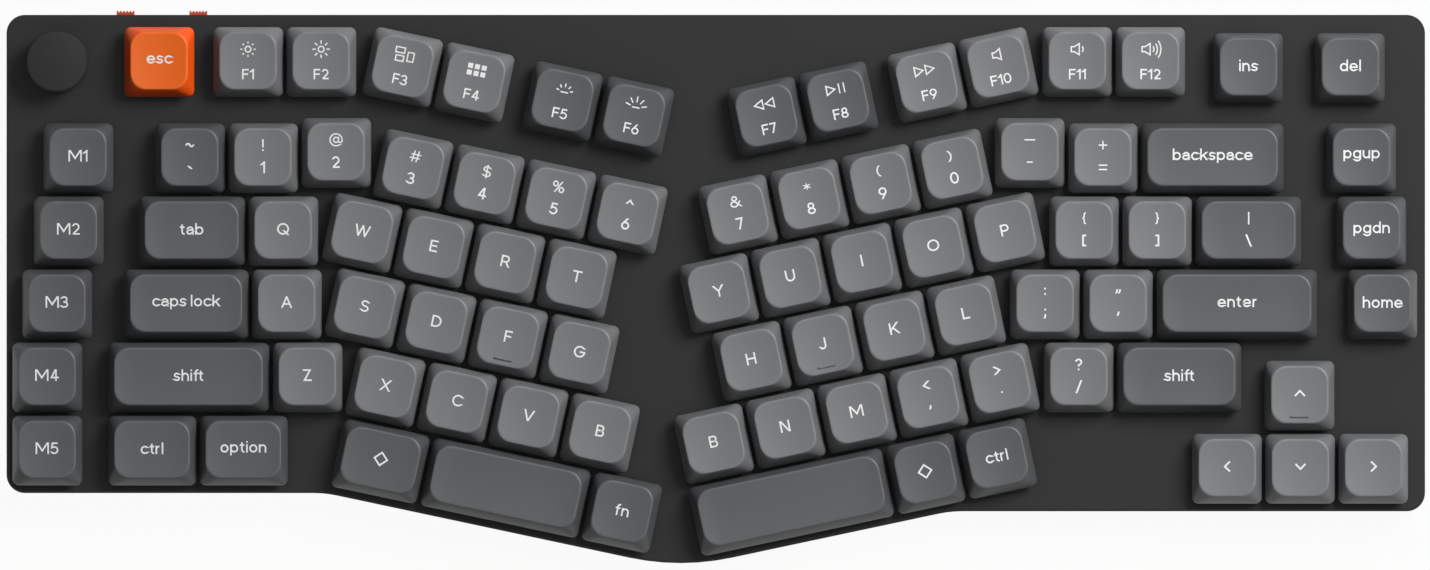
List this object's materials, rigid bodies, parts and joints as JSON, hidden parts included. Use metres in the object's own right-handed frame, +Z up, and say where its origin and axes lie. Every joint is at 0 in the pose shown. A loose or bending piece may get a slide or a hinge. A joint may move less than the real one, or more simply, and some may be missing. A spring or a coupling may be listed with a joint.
{
  "type": "gaming keyboard",
  "caption": "Low-profile gaming keyboard with two fanned key blocks, a side column of macro keys, a knob, arrow keys, rear slide switches and fold-out feet.",
  "frame": {"origin": "middle of the keyboard, on the surface it stands on", "axes": "+X to the right along the keys, +Y to the rear, +Z up"},
  "size_m": [0.37, 0.1444, 0.0276],
  "materials": {
    "case_metal": "fine matte anodised",
    "case_plastic": "fine matte moulded",
    "cap_light": "fine satin moulded",
    "cap_dark": "fine satin moulded",
    "cap_orange": "fine satin moulded",
    "switch_plastic": "satin",
    "slider_red": "satin",
    "knob_metal": "fine matte anodised",
    "bright_steel": "satin",
    "board": "satin",
    "foam": "matte",
    "rubber": "matte",
    "battery_wrap": "satin foil",
    "led_body": "clear"
  },
  "bodies": {
    "case": {"top_case": "case_metal", "deck_foam": "foam", "circuit_board": "board", "switch_housings": "switch_plastic", "switch_springs": "bright_steel", "hot_swap_sockets": "switch_plastic", "key_leds": "led_body", "stabilizer_housings": "switch_plastic", "encoder_body": "bright_steel", "slide_switch_boxes": "bright_steel", "usb_c_socket": "bright_steel", "case_screws": "bright_steel", "bottom_case": "case_plastic", "battery": "battery_wrap", "case_foam": "foam", "rubber_pads": "rubber"},
    "rotor": {"encoder_rotor": "switch_plastic"},
    "knob": {"knob": "knob_metal", "encoder_shaft": "bright_steel"},
    "connection_slider": {"connection_slider": "slider_red"},
    "system_slider": {"system_slider": "slider_red"},
    "left_foot": {"left_foot": "case_plastic"},
    "right_foot": {"right_foot": "case_plastic"},
    "keys_macro": {"keys_macro": "cap_dark"},
    "keys_function_left": {"keys_function_left": "cap_light"},
    "keys_function_right": {"keys_function_right": "cap_light"},
    "keys_navigation": {"keys_navigation": "cap_dark"},
    "keys_numbers_left": {"keys_numbers_left": "cap_light"},
    "keys_numbers_right": {"keys_numbers_right": "cap_light"},
    "keys_letters_left": {"keys_letters_left": "cap_light"},
    "keys_letters_right": {"keys_letters_right": "cap_light"},
    "key_left_shift": {"key_left_shift": "cap_dark"},
    "key_backspace": {"key_backspace": "cap_dark"},
    "key_enter": {"key_enter": "cap_dark"},
    "key_left_space": {"key_left_space": "cap_dark"},
    "key_right_space": {"key_right_space": "cap_dark"},
    "key_escape": {"key_escape": "cap_orange"},
    "key_tab": {"key_tab": "cap_dark"},
    "key_backslash": {"key_backslash": "cap_dark"},
    "key_caps_lock": {"key_caps_lock": "cap_dark"},
    "key_a": {"key_a": "cap_light"},
    "key_right_shift": {"key_right_shift": "cap_dark"},
    "key_left_control": {"key_left_control": "cap_dark"},
    "key_left_option": {"key_left_option": "cap_dark"},
    "key_arrow_up": {"key_arrow_up": "cap_light"},
    "key_arrow_left": {"key_arrow_left": "cap_light"},
    "key_arrow_down": {"key_arrow_down": "cap_light"},
    "key_arrow_right": {"key_arrow_right": "cap_light"},
    "key_w": {"key_w": "cap_light"},
    "key_s": {"key_s": "cap_light"},
    "key_d": {"key_d": "cap_light"},
    "key_left_command": {"key_left_command": "cap_dark"},
    "key_fn": {"key_fn": "cap_dark"},
    "key_right_command": {"key_right_command": "cap_dark"},
    "key_right_control": {"key_right_control": "cap_dark"},
    "wire_left_shift": {"wire_left_shift": "bright_steel"},
    "wire_backspace": {"wire_backspace": "bright_steel"},
    "wire_enter": {"wire_enter": "bright_steel"},
    "wire_left_space": {"wire_left_space": "bright_steel"},
    "wire_right_space": {"wire_right_space": "bright_steel"}
  },
  "joints": [
    {"name": "knob_turn", "type": "hinge", "parent": "case", "child": "rotor", "pos_m": [-0.17151, 0.05834, 0.01804], "axis": [0, -0.0523, 0.9986], "continuous": true},
    {"name": "knob_press", "type": "slide", "parent": "rotor", "child": "knob", "axis": [0, 0.0523, -0.9986], "range_m": [0, 0.0005], "stiffness_N_per_m": 400, "springref_m": -0.003},
    {"name": "connection_switch", "type": "slide", "parent": "case", "child": "connection_slider", "axis": [1, 0, 0], "range_m": [-0.002, 0.002]},
    {"name": "system_switch", "type": "slide", "parent": "case", "child": "system_slider", "axis": [1, 0, 0], "range_m": [0, 0.002]},
    {"name": "left_foot_fold", "type": "hinge", "parent": "case", "child": "left_foot", "pos_m": [-0.122, 0.06265, 0.00255], "axis": [1, 0, 0], "range_deg": [0, 95]},
    {"name": "right_foot_fold", "type": "hinge", "parent": "case", "child": "right_foot", "pos_m": [0.122, 0.06265, 0.00255], "axis": [1, 0, 0], "range_deg": [0, 95]},
    {"name": "keys_macro_travel", "type": "slide", "parent": "case", "child": "keys_macro", "axis": [0, 0.0523, -0.9986], "range_m": [0, 0.0032], "stiffness_N_per_m": 400, "springref_m": -0.0042, "deforming": ["switch_springs"]},
    {"name": "keys_function_left_travel", "type": "slide", "parent": "case", "child": "keys_function_left", "axis": [0, 0.0523, -0.9986], "range_m": [0, 0.0032], "stiffness_N_per_m": 480, "springref_m": -0.0042, "deforming": ["switch_springs"]},
    {"name": "keys_function_right_travel", "type": "slide", "parent": "case", "child": "keys_function_right", "axis": [0, 0.0523, -0.9986], "range_m": [0, 0.0032], "stiffness_N_per_m": 480, "springref_m": -0.0042, "deforming": ["switch_springs"]},
    {"name": "keys_navigation_travel", "type": "slide", "parent": "case", "child": "keys_navigation", "axis": [0, 0.0523, -0.9986], "range_m": [0, 0.0032], "stiffness_N_per_m": 400, "springref_m": -0.0042, "deforming": ["switch_springs"]},
    {"name": "keys_numbers_left_travel", "type": "slide", "parent": "case", "child": "keys_numbers_left", "axis": [0, 0.0523, -0.9986], "range_m": [0, 0.0032], "stiffness_N_per_m": 560, "springref_m": -0.0042, "deforming": ["switch_springs"]},
    {"name": "keys_numbers_right_travel", "type": "slide", "parent": "case", "child": "keys_numbers_right", "axis": [0, 0.0523, -0.9986], "range_m": [0, 0.0032], "stiffness_N_per_m": 480, "springref_m": -0.0042, "deforming": ["switch_springs"]},
    {"name": "keys_letters_left_travel", "type": "slide", "parent": "case", "child": "keys_letters_left", "axis": [0, 0.0523, -0.9986], "range_m": [0, 0.0032], "stiffness_N_per_m": 880, "springref_m": -0.0042, "deforming": ["switch_springs"]},
    {"name": "keys_letters_right_travel", "type": "slide", "parent": "case", "child": "keys_letters_right", "axis": [0, 0.0523, -0.9986], "range_m": [0, 0.0032], "stiffness_N_per_m": 1520, "springref_m": -0.0042, "deforming": ["switch_springs"]},
    {"name": "key_left_shift_travel", "type": "slide", "parent": "case", "child": "key_left_shift", "axis": [0, 0.0523, -0.9986], "range_m": [0, 0.0032], "stiffness_N_per_m": 80, "springref_m": -0.0042, "deforming": ["switch_springs"]},
    {"name": "key_backspace_travel", "type": "slide", "parent": "case", "child": "key_backspace", "axis": [0, 0.0523, -0.9986], "range_m": [0, 0.0032], "stiffness_N_per_m": 80, "springref_m": -0.0042, "deforming": ["switch_springs"]},
    {"name": "key_enter_travel", "type": "slide", "parent": "case", "child": "key_enter", "axis": [0, 0.0523, -0.9986], "range_m": [0, 0.0032], "stiffness_N_per_m": 80, "springref_m": -0.0042, "deforming": ["switch_springs"]},
    {"name": "key_left_space_travel", "type": "slide", "parent": "case", "child": "key_left_space", "axis": [0, 0.0523, -0.9986], "range_m": [0, 0.0032], "stiffness_N_per_m": 80, "springref_m": -0.0042, "deforming": ["switch_springs"]},
    {"name": "key_right_space_travel", "type": "slide", "parent": "case", "child": "key_right_space", "axis": [0, 0.0523, -0.9986], "range_m": [0, 0.0032], "stiffness_N_per_m": 80, "springref_m": -0.0042, "deforming": ["switch_springs"]},
    {"name": "key_escape_travel", "type": "slide", "parent": "case", "child": "key_escape", "axis": [0, 0.0523, -0.9986], "range_m": [0, 0.0032], "stiffness_N_per_m": 80, "springref_m": -0.0042, "deforming": ["switch_springs"]},
    {"name": "key_tab_travel", "type": "slide", "parent": "case", "child": "key_tab", "axis": [0, 0.0523, -0.9986], "range_m": [0, 0.0032], "stiffness_N_per_m": 80, "springref_m": -0.0042, "deforming": ["switch_springs"]},
    {"name": "key_backslash_travel", "type": "slide", "parent": "case", "child": "key_backslash", "axis": [0, 0.0523, -0.9986], "range_m": [0, 0.0032], "stiffness_N_per_m": 80, "springref_m": -0.0042, "deforming": ["switch_springs"]},
    {"name": "key_caps_lock_travel", "type": "slide", "parent": "case", "child": "key_caps_lock", "axis": [0, 0.0523, -0.9986], "range_m": [0, 0.0032], "stiffness_N_per_m": 80, "springref_m": -0.0042, "deforming": ["switch_springs"]},
    {"name": "key_a_travel", "type": "slide", "parent": "case", "child": "key_a", "axis": [0, 0.0523, -0.9986], "range_m": [0, 0.0032], "stiffness_N_per_m": 80, "springref_m": -0.0042, "deforming": ["switch_springs"]},
    {"name": "key_right_shift_travel", "type": "slide", "parent": "case", "child": "key_right_shift", "axis": [0, 0.0523, -0.9986], "range_m": [0, 0.0032], "stiffness_N_per_m": 80, "springref_m": -0.0042, "deforming": ["switch_springs"]},
    {"name": "key_left_control_travel", "type": "slide", "parent": "case", "child": "key_left_control", "axis": [0, 0.0523, -0.9986], "range_m": [0, 0.0032], "stiffness_N_per_m": 80, "springref_m": -0.0042, "deforming": ["switch_springs"]},
    {"name": "key_left_option_travel", "type": "slide", "parent": "case", "child": "key_left_option", "axis": [0, 0.0523, -0.9986], "range_m": [0, 0.0032], "stiffness_N_per_m": 80, "springref_m": -0.0042, "deforming": ["switch_springs"]},
    {"name": "key_arrow_up_travel", "type": "slide", "parent": "case", "child": "key_arrow_up", "axis": [0, 0.0523, -0.9986], "range_m": [0, 0.0032], "stiffness_N_per_m": 80, "springref_m": -0.0042, "deforming": ["switch_springs"]},
    {"name": "key_arrow_left_travel", "type": "slide", "parent": "case", "child": "key_arrow_left", "axis": [0, 0.0523, -0.9986], "range_m": [0, 0.0032], "stiffness_N_per_m": 80, "springref_m": -0.0042, "deforming": ["switch_springs"]},
    {"name": "key_arrow_down_travel", "type": "slide", "parent": "case", "child": "key_arrow_down", "axis": [0, 0.0523, -0.9986], "range_m": [0, 0.0032], "stiffness_N_per_m": 80, "springref_m": -0.0042, "deforming": ["switch_springs"]},
    {"name": "key_arrow_right_travel", "type": "slide", "parent": "case", "child": "key_arrow_right", "axis": [0, 0.0523, -0.9986], "range_m": [0, 0.0032], "stiffness_N_per_m": 80, "springref_m": -0.0042, "deforming": ["switch_springs"]},
    {"name": "key_w_travel", "type": "slide", "parent": "case", "child": "key_w", "axis": [0, 0.0523, -0.9986], "range_m": [0, 0.0032], "stiffness_N_per_m": 80, "springref_m": -0.0042, "deforming": ["switch_springs"]},
    {"name": "key_s_travel", "type": "slide", "parent": "case", "child": "key_s", "axis": [0, 0.0523, -0.9986], "range_m": [0, 0.0032], "stiffness_N_per_m": 80, "springref_m": -0.0042, "deforming": ["switch_springs"]},
    {"name": "key_d_travel", "type": "slide", "parent": "case", "child": "key_d", "axis": [0, 0.0523, -0.9986], "range_m": [0, 0.0032], "stiffness_N_per_m": 80, "springref_m": -0.0042, "deforming": ["switch_springs"]},
    {"name": "key_left_command_travel", "type": "slide", "parent": "case", "child": "key_left_command", "axis": [0, 0.0523, -0.9986], "range_m": [0, 0.0032], "stiffness_N_per_m": 80, "springref_m": -0.0042, "deforming": ["switch_springs"]},
    {"name": "key_fn_travel", "type": "slide", "parent": "case", "child": "key_fn", "axis": [0, 0.0523, -0.9986], "range_m": [0, 0.0032], "stiffness_N_per_m": 80, "springref_m": -0.0042, "deforming": ["switch_springs"]},
    {"name": "key_right_command_travel", "type": "slide", "parent": "case", "child": "key_right_command", "axis": [0, 0.0523, -0.9986], "range_m": [0, 0.0032], "stiffness_N_per_m": 80, "springref_m": -0.0042, "deforming": ["switch_springs"]},
    {"name": "key_right_control_travel", "type": "slide", "parent": "case", "child": "key_right_control", "axis": [0, 0.0523, -0.9986], "range_m": [0, 0.0032], "stiffness_N_per_m": 80, "springref_m": -0.0042, "deforming": ["switch_springs"]},
    {"name": "wire_left_shift_swing", "type": "hinge", "parent": "case", "child": "wire_left_shift", "pos_m": [-0.13737, -0.03123, 0.01059], "axis": [1, 0, 0], "range_deg": [-25, 0]},
    {"name": "wire_backspace_swing", "type": "hinge", "parent": "case", "child": "wire_backspace", "pos_m": [0.12944, 0.02584, 0.01358], "axis": [1, 0, 0], "range_deg": [-25, 0]},
    {"name": "wire_enter_swing", "type": "hinge", "parent": "case", "child": "wire_enter", "pos_m": [0.13579, -0.01221, 0.01159], "axis": [1, 0, 0], "range_deg": [-25, 0]},
    {"name": "wire_left_space_swing", "type": "hinge", "parent": "case", "child": "wire_left_space", "pos_m": [-0.05636, -0.05978, 0.0091], "axis": [0.9781, -0.2076, -0.0109], "range_deg": [-25, 0]},
    {"name": "wire_right_space_swing", "type": "hinge", "parent": "case", "child": "wire_right_space", "pos_m": [0.02129, -0.06348, 0.0089], "axis": [0.9781, 0.2076, 0.0109], "range_deg": [-25, 0]}
  ],
  "couplings": [
    {"joint": "wire_left_shift_swing", "follows": "key_left_shift_travel", "rad_per_m": -135.81},
    {"joint": "wire_backspace_swing", "follows": "key_backspace_travel", "rad_per_m": -135.81},
    {"joint": "wire_enter_swing", "follows": "key_enter_travel", "rad_per_m": -135.81},
    {"joint": "wire_left_space_swing", "follows": "key_left_space_travel", "rad_per_m": -135.81},
    {"joint": "wire_right_space_swing", "follows": "key_right_space_travel", "rad_per_m": -135.81}
  ]
}
